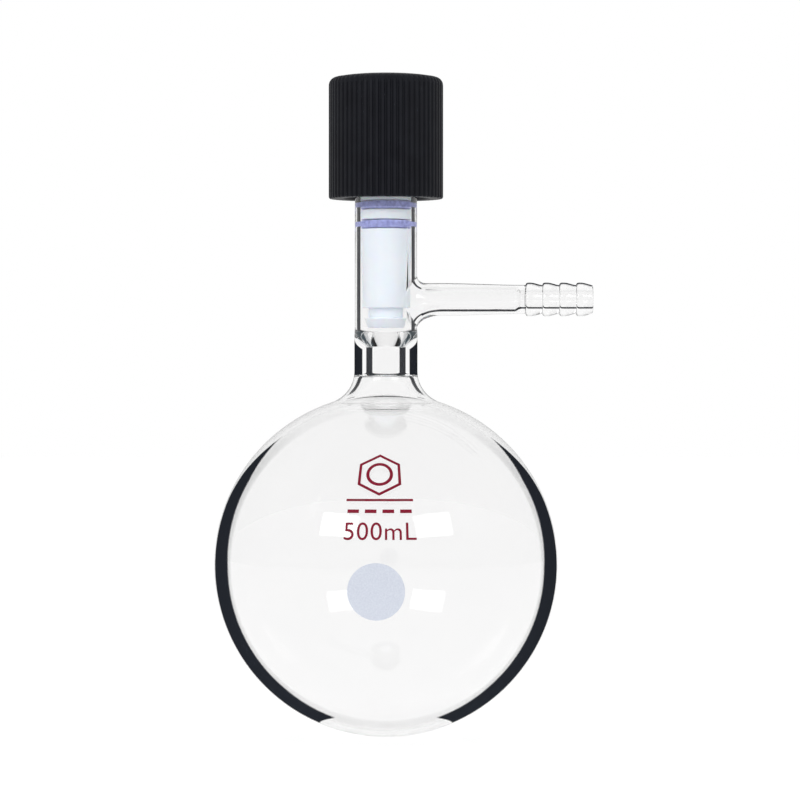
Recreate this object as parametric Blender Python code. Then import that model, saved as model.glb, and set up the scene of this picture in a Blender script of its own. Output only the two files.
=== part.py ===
"""High-vacuum storage bulb: a 500 ml round glass bulb closed by a screw-down PTFE plug valve.

Units are metres. +Z runs up the valve's axis and +X along the barbed side arm. The origin is on the axis,
halfway up the thick glass seat, where a stand's clamp grips the neck. The valve stands partly open.

The real glass is one fused piece made from a bulb and several tubes. Each is its own solid here, with
GLASS_GAP between neighbours. The plug slides up and down the barrel without turning, and the cap turns on
the plug's head and climbs the glass thread.
"""

import math

import bmesh
import bpy

# Clearances between pieces
GLASS_GAP = 0.0003  # between two glass pieces that are fused on the real object
FIT_GAP = 0.0003  # between pieces that touch inside the cap
PLUG_GAP = 0.00015  # plug to bore, on the radius
SEAL_GAP = 0.00008  # seal ring to bore, on the radius
THREAD_GAP = 0.00035  # crest to root of the two threads, on the radius

# Glass bulb
BULB_DIAMETER = 0.105
BULB_WALL = 0.0021
FLARE_RADIUS = 0.010  # outer fillet between the bulb and its neck
FLARE_ON_SEAT = 0.001  # height over which the flare runs on above the neck's joint

# Valve glass: seat, barrel and threaded head share the barrel's bore
BARREL_BORE = 0.0159
BARREL_WALL = 0.00155
BARREL_LENGTH = 0.0421
SEAT_LENGTH = 0.0131
SEAT_BORE = 0.0082
SEAT_RIM_WALL = 0.0017
SEAT_CONE_DEPTH = 0.0049
HEAD_LENGTH = 0.017
HEAD_WALL = 0.00335
HEAD_SHOULDER = 0.0017  # height of the cone from the barrel out to the head
HEAD_LIP_ROUND = 0.0009

# GL25 screw thread, cut outside the glass head and moulded inside the cap
THREAD_PITCH = 0.0035
THREAD_DEPTH = 0.00115
RIDGE_BASE_WIDTH = 0.0021
RIDGE_CREST_WIDTH = 0.0009
RIDGE_EMBED = 0.0004  # how far a ridge's foot reaches into its wall, so that the two join
RIDGE_RUNOUTS = 6  # a ridge fades out over a sixth of a turn at each end
HEAD_THREAD_START = 0.0032  # first ridge above the head's lower end
HEAD_THREAD_END = 0.0024  # last ridge below the head's lip
CAP_THREAD_END = 0.0015  # the cap's last ridge below the same lip

# Side arm and hose barb
ARM_HEIGHT = 0.0098  # axis above the seat's rim
ARM_DIAMETER = 0.0095
ARM_BORE = 0.006
ARM_WELD_RADIUS = 0.0037
ARM_WELD_START = 20.0  # degrees of the weld fillet left off, so that its edge isn't feathered
ARM_END = 0.0427  # joint with the barb, from the valve's axis
BARB_BORE = 0.0046
BORE_TAPER_LENGTH = 0.0022
BARB_COUNT = 4
BARB_PITCH = 0.00515
BARB_CREST_DIAMETER = 0.0104
BARB_ROOT_DIAMETER = 0.0089
BARB_STEP = 0.0005  # length of the rounded front of each ridge

# PTFE plug and its seals
VALVE_OPENING = 0.00406  # lift of the plug off its seat
TIP_BEARING = 0.00135  # the tip's face beyond the seat's bore, on the radius
TIP_LENGTH = 0.0031
TIP_SIDE_GAP = 0.0013
TIP_NECK_LENGTH = 0.0032
LOWER_BODY_RELIEF = 0.0006
LOWER_BODY_LENGTH = 0.0054
BODY_TAPER_LENGTH = 0.0128
SEAL_SECTION = 0.0023
SEAL_BELOW_HEAD = 0.0034  # upper seal's centre below the threaded head
SEAL_SPACING = 0.0059
HEAD_NECK_RELIEF = 0.0006
PLUG_HEAD_LENGTH = 0.004
PLUG_HEAD_BEARING = 0.0013  # the head's flange beyond the retaining ring's bore, on the radius
PLUG_BEVEL = 0.0004

# Screw cap and what holds the plug's head in it
CAP_SKIRT = 0.0015  # cap's mouth below the threaded head
CAP_HEADROOM = 0.005  # over the glass head, for closing the valve
CAP_LIP = 0.0011
CAP_TOP_THICKNESS = 0.0062
CAP_WALL = 0.0047
CAP_EDGE_RADIUS = 0.003
CAP_EDGE_INSET = 0.0018
POCKET_GAP = 0.0008  # round the plug's head
RIB_COUNT = 60
RIB_DEPTH = 0.0005
RING_THICKNESS = 0.001
RING_CLEARANCE = 0.0013  # between the ring's bore and the plug's neck
RING_GROOVE_DEPTH = 0.001
RING_OPENING = 36.0  # degrees between the ring's two ears
RING_EAR_ANGLE = 14.0
RING_EAR_DEPTH = 0.0009
WASHER_THICKNESS = 0.001
WASHER_INNER_RADIUS = 0.0035

# Facets round each piece
BULB_SIDES = 36
BULB_STEPS = 18  # from pole to shoulder
FLARE_STEPS = 5
VALVE_SIDES = 32
ARM_SIDES = 24
CAP_SIDES = 32
CAP_EDGE_STEPS = 2
SEAL_STEPS = 8
RING_STEPS = 30

# Places that follow from the sizes
SEAT_BOTTOM_Z = -SEAT_LENGTH / 2
SEAT_TOP_Z = SEAT_LENGTH / 2
SEAT_RADIUS = BARREL_BORE / 2 + SEAT_RIM_WALL
BARREL_RADIUS = BARREL_BORE / 2 + BARREL_WALL
HEAD_Z = SEAT_TOP_Z + BARREL_LENGTH
HEAD_TOP_Z = HEAD_Z + HEAD_LENGTH
HEAD_ROOT_RADIUS = BARREL_BORE / 2 + HEAD_WALL
HEAD_CREST_RADIUS = HEAD_ROOT_RADIUS + THREAD_DEPTH
ARM_Z = SEAT_TOP_Z + ARM_HEIGHT
ARM_TIP_X = ARM_END + BARB_COUNT * BARB_PITCH

FLARE_X = SEAT_RADIUS + FLARE_RADIUS
FLARE_Z = SEAT_BOTTOM_Z + FLARE_ON_SEAT
BULB_RADIUS = BULB_DIAMETER / 2
FLARE_RISE = math.sqrt((BULB_RADIUS + FLARE_RADIUS) ** 2 - FLARE_X**2)
BULB_Z = FLARE_Z - FLARE_RISE
SHOULDER_ANGLE = math.degrees(math.atan2(FLARE_RISE, FLARE_X))  # where sphere and flare meet

HEAD_THREAD_Z = HEAD_Z + HEAD_THREAD_START
HEAD_THREAD_TURNS = (HEAD_TOP_Z - HEAD_THREAD_END - HEAD_THREAD_Z) / THREAD_PITCH
CAP_THREAD_Z = HEAD_THREAD_Z - THREAD_PITCH / 2
CAP_THREAD_TURNS = (HEAD_TOP_Z - CAP_THREAD_END - CAP_THREAD_Z) / THREAD_PITCH

PLUG_RADIUS = BARREL_BORE / 2 - PLUG_GAP
HEAD_NECK_RADIUS = PLUG_RADIUS - HEAD_NECK_RELIEF
RING_INNER_RADIUS = HEAD_NECK_RADIUS + RING_CLEARANCE
PLUG_HEAD_RADIUS = RING_INNER_RADIUS + PLUG_HEAD_BEARING
POCKET_RADIUS = PLUG_HEAD_RADIUS + POCKET_GAP
TIP_FACE_RADIUS = SEAT_BORE / 2 + TIP_BEARING
SEAT_SLOPE = SEAT_CONE_DEPTH / (BARREL_BORE / 2 - SEAT_BORE / 2)
CLOSED_TIP_Z = SEAT_TOP_Z - SEAT_CONE_DEPTH + TIP_BEARING * SEAT_SLOPE
TIP_Z = CLOSED_TIP_Z + VALVE_OPENING
UPPER_SEAL_Z = HEAD_Z - SEAL_BELOW_HEAD
LOWER_SEAL_Z = UPPER_SEAL_Z - SEAL_SPACING

CAP_Z = HEAD_Z - CAP_SKIRT
CAP_STEP_Z = HEAD_TOP_Z + CAP_HEADROOM
RING_Z = CAP_STEP_Z + CAP_LIP + FIT_GAP
PLUG_HEAD_Z = RING_Z + RING_THICKNESS + FIT_GAP
WASHER_Z = PLUG_HEAD_Z + PLUG_HEAD_LENGTH + FIT_GAP
CAP_CEILING_Z = WASHER_Z + WASHER_THICKNESS + FIT_GAP
CAP_TOP_Z = CAP_CEILING_Z + CAP_TOP_THICKNESS
CAP_BORE_RADIUS = HEAD_CREST_RADIUS + THREAD_GAP
CAP_RADIUS = CAP_BORE_RADIUS + CAP_WALL

# Colour, roughness, metallic and transmission of each material
GLASS = ((0.93, 0.96, 0.96), 0.02, 0.0, 1.0)
PTFE = ((0.90, 0.92, 0.94), 0.40, 0.0, 0.0)
SEAL_RUBBER = ((0.36, 0.34, 0.62), 0.45, 0.0, 0.0)
CAP_PLASTIC = ((0.018, 0.019, 0.024), 0.50, 0.0, 0.0)
WASHER_PLASTIC = ((0.75, 0.74, 0.70), 0.45, 0.0, 0.0)
SPRING_STEEL = ((0.55, 0.55, 0.56), 0.30, 1.0, 0.0)


def clear_scene():
    for obj in list(bpy.data.objects):
        bpy.data.objects.remove(obj, do_unlink=True)


def material(name, look):
    colour, roughness, metallic, transmission = look
    made = bpy.data.materials.new(name)
    made.use_nodes = True
    shader = made.node_tree.nodes["Principled BSDF"]
    shader.inputs["Base Color"].default_value = (*colour, 1.0)
    shader.inputs["Roughness"].default_value = roughness
    shader.inputs["Metallic"].default_value = metallic
    shader.inputs["Transmission Weight"].default_value = transmission
    return made


def frame_empty(name, z):
    """An empty on the valve's axis that carries one moving body's pieces."""
    empty = bpy.data.objects.new(name, None)
    empty.location = (0.0, 0.0, z)
    bpy.context.scene.collection.objects.link(empty)
    return empty


def finished_object(name, bm, parent, look):
    """Turns world-frame mesh data into an object that stands on its parent's axis."""
    bmesh.ops.recalc_face_normals(bm, faces=bm.faces[:])
    bmesh.ops.translate(bm, verts=bm.verts[:], vec=-parent.location)
    mesh = bpy.data.meshes.new(name)
    bm.to_mesh(mesh)
    bm.free()
    mesh.shade_smooth()
    mesh.set_sharp_from_angle(angle=math.radians(32))
    obj = bpy.data.objects.new(name, mesh)
    obj.parent = parent
    bpy.context.scene.collection.objects.link(obj)
    if look:
        mesh.materials.append(material(name, look))
    return obj


def arc(centre, radius, start, end, steps):
    """Points of an arc in the (radius, z) plane, by angle in degrees from the outward direction."""
    points = []
    for i in range(steps + 1):
        angle = math.radians(start + (end - start) * i / steps)
        points.append((centre[0] + radius * math.cos(angle), centre[1] + radius * math.sin(angle)))
    return points


def turned_mesh(profile, sides):
    """A profile of (radius, z) points turned about Z into a closed surface."""
    bm = bmesh.new()
    verts = [bm.verts.new((radius, 0.0, z)) for radius, z in profile]
    edges = [bm.edges.new(pair) for pair in zip(verts, verts[1:])]
    if profile[0][0] > 0 and profile[-1][0] > 0:
        edges.append(bm.edges.new((verts[-1], verts[0])))
    bmesh.ops.spin(
        bm,
        geom=verts + edges,
        cent=(0, 0, 0),
        axis=(0, 0, 1),
        angle=2 * math.pi,
        steps=sides,
        use_merge=True,
        use_duplicate=False,
    )
    bmesh.ops.remove_doubles(bm, verts=bm.verts[:], dist=1e-7)
    return bm


def turned(name, profile, sides, parent, look):
    return finished_object(name, turned_mesh(profile, sides), parent, look)


def turned_along_x(name, profile, sides, z, parent, look):
    """The same, with the profile's (radius, distance) turned about a line along +X at height z."""
    bm = turned_mesh(profile, sides)
    for vert in bm.verts:
        x, y, along = vert.co
        vert.co = (along, y, z - x)
    return finished_object(name, bm, parent, look)


def helix_ridge(name, root_radius, crest_radius, start_z, turns, parent):
    """A helper solid: a right-hand thread ridge whose two ends sink into the wall that it stands on."""
    sunk = math.copysign(RIDGE_EMBED, root_radius - crest_radius)
    steps = round(turns * VALVE_SIDES)
    fade_steps = VALVE_SIDES / RIDGE_RUNOUTS
    bm = bmesh.new()
    rings = []
    for i in range(steps + 1):
        angle = 2 * math.pi * i / VALVE_SIDES
        z = start_z + THREAD_PITCH * i / VALVE_SIDES
        fade = min(1.0, min(i, steps - i) / fade_steps)
        crest = (root_radius + sunk / 2) * (1 - fade) + crest_radius * fade
        section = (
            (root_radius + sunk, z - RIDGE_BASE_WIDTH / 2),
            (crest, z - RIDGE_CREST_WIDTH / 2),
            (crest, z + RIDGE_CREST_WIDTH / 2),
            (root_radius + sunk, z + RIDGE_BASE_WIDTH / 2),
        )
        rings.append([bm.verts.new((r * math.cos(angle), r * math.sin(angle), h)) for r, h in section])
    for ring, following in zip(rings, rings[1:]):
        for k in range(4):
            bm.faces.new((ring[k], ring[(k + 1) % 4], following[(k + 1) % 4], following[k]))
    bm.faces.new(rings[0])
    bm.faces.new(rings[-1])
    return helper(finished_object(name, bm, parent, None))


def helper(obj):
    """Marks a cutter or a joined shape, which isn't a piece of its own."""
    obj.hide_render = True
    obj.display_type = "WIRE"
    return obj


def boolean(obj, other, operation):
    modifier = obj.modifiers.new(other.name, "BOOLEAN")
    modifier.operation = operation
    modifier.solver = "EXACT"
    modifier.object = other


def make_bulb(body):
    """The blown sphere, open at the top where the neck flares out of it."""
    centre = (0.0, BULB_Z)
    inner_radius = BULB_RADIUS - BULB_WALL
    rim = SHOULDER_ANGLE - math.degrees(GLASS_GAP / BULB_RADIUS)
    profile = arc(centre, BULB_RADIUS, -90, rim, BULB_STEPS)
    profile += arc(centre, inner_radius, rim, -90, BULB_STEPS)
    profile[0] = (0.0, BULB_Z - BULB_RADIUS)
    profile[-1] = (0.0, BULB_Z - inner_radius)
    turned("round_bulb", profile, BULB_SIDES, body, GLASS)


def make_neck(body):
    """The flared neck, whose outline runs smoothly from the sphere up into the seat."""
    top_z = SEAT_BOTTOM_Z - GLASS_GAP / 2
    centre = (FLARE_X, FLARE_Z)
    start = 180 + SHOULDER_ANGLE

    def end(radius):
        return 180 + math.degrees(math.asin((FLARE_Z - top_z) / radius))

    inner = FLARE_RADIUS + BULB_WALL
    profile = arc(centre, FLARE_RADIUS, start, end(FLARE_RADIUS), FLARE_STEPS)
    profile += arc(centre, inner, end(inner), start, FLARE_STEPS)
    turned("bulb_neck", profile, VALVE_SIDES, body, GLASS)


def make_seat(body):
    """Thick-walled glass seat: a narrow bore that opens upwards in a cone."""
    bottom = SEAT_BOTTOM_Z + GLASS_GAP / 2
    top = SEAT_TOP_Z - GLASS_GAP / 2
    foot = FLARE_X - math.sqrt(FLARE_RADIUS**2 - (FLARE_Z - bottom) ** 2)
    rim_radius = SEAT_BORE / 2 + (top - SEAT_TOP_Z + SEAT_CONE_DEPTH) / SEAT_SLOPE
    profile = [
        (foot, bottom),
        (SEAT_RADIUS, FLARE_Z),
        (SEAT_RADIUS, top),
        (rim_radius, top),
        (SEAT_BORE / 2, SEAT_TOP_Z - SEAT_CONE_DEPTH),
        (SEAT_BORE / 2, bottom),
    ]
    turned("valve_seat", profile, VALVE_SIDES, body, GLASS)


def make_barrel(body):
    """Plain tube round the plug, with the side arm's hole through its wall."""
    bottom = SEAT_TOP_Z + GLASS_GAP / 2
    top = HEAD_Z - GLASS_GAP / 2
    outline = [
        (BARREL_RADIUS, bottom),
        (BARREL_RADIUS, top),
        (BARREL_BORE / 2, top),
        (BARREL_BORE / 2, bottom),
    ]
    barrel = turned("valve_barrel", outline, VALVE_SIDES, body, GLASS)
    hole = [(0.0, 0.0), (ARM_BORE / 2, 0.0), (ARM_BORE / 2, 2 * BARREL_RADIUS), (0.0, 2 * BARREL_RADIUS)]
    cutter = helper(turned_along_x("arm_hole_cutter", hole, ARM_SIDES, ARM_Z, body, None))
    boolean(barrel, cutter, "DIFFERENCE")


def make_threaded_head(body):
    """The barrel's upper end, wide enough for the screw thread, with a rounded lip."""
    bottom = HEAD_Z + GLASS_GAP / 2
    bore = BARREL_BORE / 2
    profile = [(bore, bottom), (BARREL_RADIUS, bottom), (HEAD_ROOT_RADIUS, bottom + HEAD_SHOULDER)]
    outer_lip = (HEAD_ROOT_RADIUS - HEAD_LIP_ROUND, HEAD_TOP_Z - HEAD_LIP_ROUND)
    inner_lip = (bore + HEAD_LIP_ROUND, HEAD_TOP_Z - HEAD_LIP_ROUND)
    profile += arc(outer_lip, HEAD_LIP_ROUND, 0, 90, 3)
    profile += arc(inner_lip, HEAD_LIP_ROUND, 90, 180, 3)
    head = turned("threaded_head", profile, VALVE_SIDES, body, GLASS)
    ridge = helix_ridge(
        "head_thread", HEAD_ROOT_RADIUS, HEAD_CREST_RADIUS, HEAD_THREAD_Z, HEAD_THREAD_TURNS, body
    )
    boolean(head, ridge, "UNION")


def make_side_arm(body):
    """Side tube with a weld fillet that saddles the barrel, and a bore that narrows towards the barb."""
    outer = ARM_DIAMETER / 2
    saddle = BARREL_RADIUS + GLASS_GAP
    fillet_centre = (outer + ARM_WELD_RADIUS, saddle + ARM_WELD_RADIUS)
    end = ARM_END - GLASS_GAP / 2
    fillet = arc(fillet_centre, ARM_WELD_RADIUS, 270 - ARM_WELD_START, 180, 5)
    narrow = ARM_END - BORE_TAPER_LENGTH
    profile = [(ARM_BORE / 2, saddle / 3), (fillet[0][0], saddle / 3)]
    profile += fillet
    profile += [(outer, end), (BARB_BORE / 2, end), (BARB_BORE / 2, narrow + BORE_TAPER_LENGTH / 2)]
    profile += [(ARM_BORE / 2, narrow - BORE_TAPER_LENGTH / 2)]
    arm = turned_along_x("side_arm", profile, ARM_SIDES, ARM_Z, body, GLASS)
    reach = ARM_DIAMETER + 2 * ARM_WELD_RADIUS
    low = ARM_Z - reach
    high = ARM_Z + reach
    outline = [(0.0, low), (saddle, low), (saddle, high), (0.0, high)]
    boolean(arm, helper(turned("saddle_cutter", outline, VALVE_SIDES, body, None)), "DIFFERENCE")


def make_hose_barb(body):
    """Hose end with ridges that rise sharply on the flask's side and fall away towards the tip."""
    start = ARM_END + GLASS_GAP / 2
    crest = BARB_CREST_DIAMETER / 2
    root = BARB_ROOT_DIAMETER / 2
    profile = [(BARB_BORE / 2, ARM_TIP_X), (BARB_BORE / 2, start)]
    for i in range(BARB_COUNT):
        at = start + i * (ARM_TIP_X - start) / BARB_COUNT
        step_end = at + BARB_STEP
        following = start + (i + 1) * (ARM_TIP_X - start) / BARB_COUNT
        profile += [(root, at), (crest - BARB_STEP / 3, at + BARB_STEP / 4), (crest, step_end)]
        profile += [(crest, step_end + BARB_STEP), (root, following - BARB_STEP / 5)]
    profile += [(root - BARB_STEP / 2, ARM_TIP_X)]
    turned_along_x("hose_barb", profile, ARM_SIDES, ARM_Z, body, GLASS)


def seal_groove(centre_z):
    """The plug's outline across one seal groove, going up."""
    floor = PLUG_RADIUS - SEAL_SECTION
    half = SEAL_SECTION / 2 + FIT_GAP
    return [
        (PLUG_RADIUS, centre_z - half),
        (floor, centre_z - half),
        (floor, centre_z + half),
        (PLUG_RADIUS, centre_z + half),
    ]


def make_plug(body):
    """PTFE plug: a conical tip on a thin neck, a relieved lower body, two seal grooves and a flanged head."""
    neck_z = TIP_Z + TIP_LENGTH
    body_z = neck_z + TIP_NECK_LENGTH
    taper_z = body_z + LOWER_BODY_LENGTH
    full_z = taper_z + BODY_TAPER_LENGTH
    relieved = PLUG_RADIUS - LOWER_BODY_RELIEF
    top = PLUG_HEAD_Z + PLUG_HEAD_LENGTH
    profile = [
        (0.0, TIP_Z),
        (TIP_FACE_RADIUS, TIP_Z),
        (BARREL_BORE / 2 - TIP_SIDE_GAP, neck_z),
        (TIP_FACE_RADIUS, neck_z),
        (TIP_FACE_RADIUS, body_z),
        (relieved - PLUG_BEVEL, body_z),
        (relieved, body_z + PLUG_BEVEL),
        (relieved, taper_z),
        (PLUG_RADIUS, full_z),
    ]
    profile += seal_groove(LOWER_SEAL_Z)
    profile += seal_groove(UPPER_SEAL_Z)
    profile += [
        (PLUG_RADIUS, CAP_STEP_Z - FIT_GAP),
        (HEAD_NECK_RADIUS, CAP_STEP_Z),
        (HEAD_NECK_RADIUS, PLUG_HEAD_Z),
        (PLUG_HEAD_RADIUS, PLUG_HEAD_Z),
        (PLUG_HEAD_RADIUS, top - PLUG_BEVEL),
        (PLUG_HEAD_RADIUS - PLUG_BEVEL, top),
        (0.0, top),
    ]
    turned("ptfe_plug", profile, VALVE_SIDES, body, PTFE)


def make_seal(name, centre_z, body):
    section = SEAL_SECTION / 2
    centre = (BARREL_BORE / 2 - SEAL_GAP - section, centre_z)
    turned(name, arc(centre, section, 0, 360, SEAL_STEPS)[:-1], VALVE_SIDES, body, SEAL_RUBBER)


def ribbed_body():
    """The cap's outside: grip ribs all round, and a rounded upper edge that they run out into."""
    levels = [(0.0, CAP_Z, 1.0)]
    for i in range(CAP_EDGE_STEPS + 1):
        share = i / CAP_EDGE_STEPS
        angle = math.radians(90 * share)
        inset = CAP_EDGE_INSET * (1 - math.cos(angle))
        levels.append((inset, CAP_TOP_Z - CAP_EDGE_RADIUS * (1 - math.sin(angle)), 1.0 - share))
    columns = 4 * RIB_COUNT
    bm = bmesh.new()
    rings = []
    for inset, z, depth_share in levels:
        ring = []
        for k in range(columns):
            groove = RIB_DEPTH * depth_share if k % 4 in (2, 3) else 0.0
            radius = CAP_RADIUS - inset - groove
            angle = 2 * math.pi * (k + 0.5) / columns
            ring.append(bm.verts.new((radius * math.cos(angle), radius * math.sin(angle), z)))
        rings.append(ring)
    for lower, upper in zip(rings, rings[1:]):
        for k in range(columns):
            following = (k + 1) % columns
            bm.faces.new((lower[k], lower[following], upper[following], upper[k]))
    bm.faces.new(rings[0])
    bm.faces.new(rings[-1])
    return bm


def make_cap(body):
    """Screw cap: threaded bore below, and above it a pocket and a groove that hold the plug's head."""
    cap = finished_object("screw_cap", ribbed_body(), body, CAP_PLASTIC)
    below = CAP_Z - CAP_SKIRT
    groove_radius = POCKET_RADIUS + RING_GROOVE_DEPTH
    hollow = [
        (0.0, below),
        (CAP_BORE_RADIUS, below),
        (CAP_BORE_RADIUS, CAP_STEP_Z),
        (POCKET_RADIUS, CAP_STEP_Z),
        (POCKET_RADIUS, RING_Z - FIT_GAP),
        (groove_radius, RING_Z - FIT_GAP),
        (groove_radius, RING_Z + RING_THICKNESS + FIT_GAP),
        (POCKET_RADIUS, RING_Z + RING_THICKNESS + FIT_GAP),
        (POCKET_RADIUS, CAP_CEILING_Z),
        (0.0, CAP_CEILING_Z),
    ]
    boolean(cap, helper(turned("cap_hollow", hollow, CAP_SIDES, body, None)), "DIFFERENCE")
    crest = CAP_BORE_RADIUS - THREAD_DEPTH
    ridge = helix_ridge("cap_thread", CAP_BORE_RADIUS, crest, CAP_THREAD_Z, CAP_THREAD_TURNS, body)
    boolean(cap, ridge, "UNION")


def make_washer(body):
    outer = POCKET_RADIUS - FIT_GAP
    top = WASHER_Z + WASHER_THICKNESS
    outline = [(WASHER_INNER_RADIUS, WASHER_Z), (outer, WASHER_Z), (outer, top), (WASHER_INNER_RADIUS, top)]
    turned("thrust_washer", outline, VALVE_SIDES, body, WASHER_PLASTIC)


def make_retaining_ring(body):
    """Open spring ring that snaps into the cap's groove under the plug's head, with an ear at each end."""
    outer = POCKET_RADIUS + RING_GROOVE_DEPTH - FIT_GAP
    half_gap = RING_OPENING / 2
    ear = RING_INNER_RADIUS - RING_EAR_DEPTH
    ear_end = half_gap + RING_EAR_ANGLE
    outline = arc((0, 0), outer, half_gap, 360 - half_gap, RING_STEPS)
    outline += arc((0, 0), ear, 360 - half_gap, 360 - ear_end, 2)
    outline += arc((0, 0), RING_INNER_RADIUS, 360 - ear_end, ear_end, RING_STEPS)
    outline += arc((0, 0), ear, ear_end, half_gap, 2)
    bm = bmesh.new()
    face = bm.faces.new([bm.verts.new((x, y, RING_Z)) for x, y in outline])
    raised = bmesh.ops.extrude_face_region(bm, geom=[face])["geom"]
    lifted = [item for item in raised if isinstance(item, bmesh.types.BMVert)]
    bmesh.ops.translate(bm, verts=lifted, vec=(0, 0, RING_THICKNESS))
    finished_object("retaining_ring", bm, body, SPRING_STEEL)


def main():
    clear_scene()
    flask = frame_empty("flask", 0.0)
    make_bulb(flask)
    make_neck(flask)
    make_seat(flask)
    make_barrel(flask)
    make_threaded_head(flask)
    make_side_arm(flask)
    make_hose_barb(flask)

    plug = frame_empty("plug", TIP_Z)
    make_plug(plug)
    make_seal("lower_o_ring", LOWER_SEAL_Z, plug)
    make_seal("upper_o_ring", UPPER_SEAL_Z, plug)

    cap = frame_empty("cap", CAP_Z)
    make_cap(cap)
    make_washer(cap)
    make_retaining_ring(cap)


main()
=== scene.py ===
"""Looks of the high-vacuum storage bulb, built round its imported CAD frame.

Units are metres, in the CAD frame: +Z up the valve's axis, +X along the side arm. The real glass is one
fused piece, so it is one closed mesh here, which stands for the seven glass nodes of the frame.
"""

import math

import bmesh
import bpy
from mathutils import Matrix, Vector


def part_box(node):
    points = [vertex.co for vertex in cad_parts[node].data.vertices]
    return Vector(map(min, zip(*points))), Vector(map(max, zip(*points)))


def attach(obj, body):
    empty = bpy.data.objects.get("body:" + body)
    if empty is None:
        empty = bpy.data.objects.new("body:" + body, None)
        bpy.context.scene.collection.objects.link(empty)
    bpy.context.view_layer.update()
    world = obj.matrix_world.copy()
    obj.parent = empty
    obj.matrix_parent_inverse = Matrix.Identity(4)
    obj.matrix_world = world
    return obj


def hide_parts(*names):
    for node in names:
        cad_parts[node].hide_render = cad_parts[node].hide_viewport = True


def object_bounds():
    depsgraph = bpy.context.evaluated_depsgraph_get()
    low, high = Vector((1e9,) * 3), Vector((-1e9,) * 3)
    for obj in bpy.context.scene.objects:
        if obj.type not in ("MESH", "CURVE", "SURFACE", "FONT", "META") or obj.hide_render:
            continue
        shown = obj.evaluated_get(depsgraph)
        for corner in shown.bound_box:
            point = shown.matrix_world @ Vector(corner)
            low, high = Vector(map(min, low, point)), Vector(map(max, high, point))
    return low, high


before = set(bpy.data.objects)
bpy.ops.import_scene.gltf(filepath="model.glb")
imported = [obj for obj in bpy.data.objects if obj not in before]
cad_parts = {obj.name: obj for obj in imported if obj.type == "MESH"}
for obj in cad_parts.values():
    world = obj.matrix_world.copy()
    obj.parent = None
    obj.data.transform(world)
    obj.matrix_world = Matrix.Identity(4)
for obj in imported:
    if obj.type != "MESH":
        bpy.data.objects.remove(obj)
cad_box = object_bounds()

GLASS_IOR = 1.47
MM = 0.001

# Facets round each piece
BULB_SIDES = 216
VALVE_PLUG_SIDES = 144
ARM_SIDES = 96
THREAD_SIDES = 96

# Glass: walls and curves that the frame's boxes don't give
BULB_WALL = 2.1 * MM
FLARE_RADIUS = 10.0 * MM
VALVE_BORE_RADIUS = 7.95 * MM
SEAT_BORE_RADIUS = 4.1 * MM
SEAT_CONE_DEPTH = 4.9 * MM
SEAT_RADIUS = 9.65 * MM
HEAD_ROOT_RADIUS = 11.3 * MM
HEAD_SHOULDER = 1.9 * MM
HEAD_LIP_ROUND = 1.1 * MM
THREAD_PITCH = 3.5 * MM
THREAD_DEPTH = 1.15 * MM
HEAD_THREAD_START = 3.2 * MM
HEAD_THREAD_TURNS = 3.2
ARM_BORE_RADIUS = 3.0 * MM
BARB_BORE_RADIUS = 2.3 * MM
ARM_ROOT_RADIUS = 4.95 * MM
ARM_END_RADIUS = 4.4 * MM
# Weld of the arm: reach along the barrel to the side, up and down, and height over it above and below
WELD_OUTSIDE = (3.0 * MM, 2.6 * MM, 4.2 * MM, 2.6 * MM, 7.5 * MM)
WELD_INSIDE = (3.4 * MM, 3.6 * MM, 5.2 * MM, 4.2 * MM, 9.0 * MM)
WELD_STEPS = 16
BARB_COUNT = 4
BARB_ROOT_RADIUS = 4.4 * MM
BARB_CREST_RADIUS = 5.15 * MM

# Plug and seals
TIP_FACE_RADIUS = 5.45 * MM
TIP_RADIUS = 6.65 * MM
TIP_NECK_RADIUS = 5.3 * MM
TIP_LENGTH = 3.1 * MM
PLUG_FOOT = 6.3 * MM  # the lower body's underside, above the tip's face
PLUG_FOOT_RADIUS = 7.2 * MM
PLUG_TAPER_START = 11.7 * MM
PLUG_TAPER_END = 24.5 * MM
PLUG_RADIUS = 7.8 * MM
PLUG_HEAD_NECK_RADIUS = 7.2 * MM
PLUG_FLANGE = 4.0 * MM
GROOVE_RADIUS = 5.5 * MM
SEAL_SIDES = 160
SEAL_HALF_HEIGHT = 1.17 * MM
SEAL_SPREAD = 1.165  # how much wider the round section is than the gap that it is pressed into
SEAL_PRESSED = 0.012 * MM  # it wets the glass, so that it is seen right across the barrel

# Cap
CAP_BORE_RADIUS = 12.8 * MM
CAP_THREAD_TURNS = 3.9
CAP_EDGE_RADIUS = 3.4 * MM
CAP_EDGE_INSET = 2.4 * MM
CAP_DOME = 0.85 * MM
RIB_COUNT = 60
RIB_STEPS = 10
RIB_DEPTH = 0.5 * MM

# Print: heights are above the middle of the bulb
PRINT_GAP = 0.01 * MM
PRINT_THICKNESS = 0.035 * MM
PRINT_X = -1.7 * MM
EMBLEM_HEIGHT = 28.6 * MM
EMBLEM_RADIUS = 6.7 * MM
EMBLEM_LINE = 0.95 * MM
RULES_HEIGHT = 19.3 * MM
RULE_WIDTH = 20.5 * MM
# (height, length of a dash, dashes, thickness) of each row
RULE_ROWS = ((1.9 * MM, 20.0 * MM, 1, 0.75 * MM), (-1.6 * MM, 3.4 * MM, 4, 1.1 * MM))
CAPACITY_HEIGHT = 11.7 * MM
CAPACITY_SIZE = 7.6 * MM
PATCH_X = -2.75 * MM
PATCH_HEIGHT = -5.8 * MM
PATCH_RADIUS = 8.55 * MM
PATCH_SIDES = 96
PATCH_RINGS = 12


def node_low(name):
    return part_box(name)[0]


def node_high(name):
    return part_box(name)[1]


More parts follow.
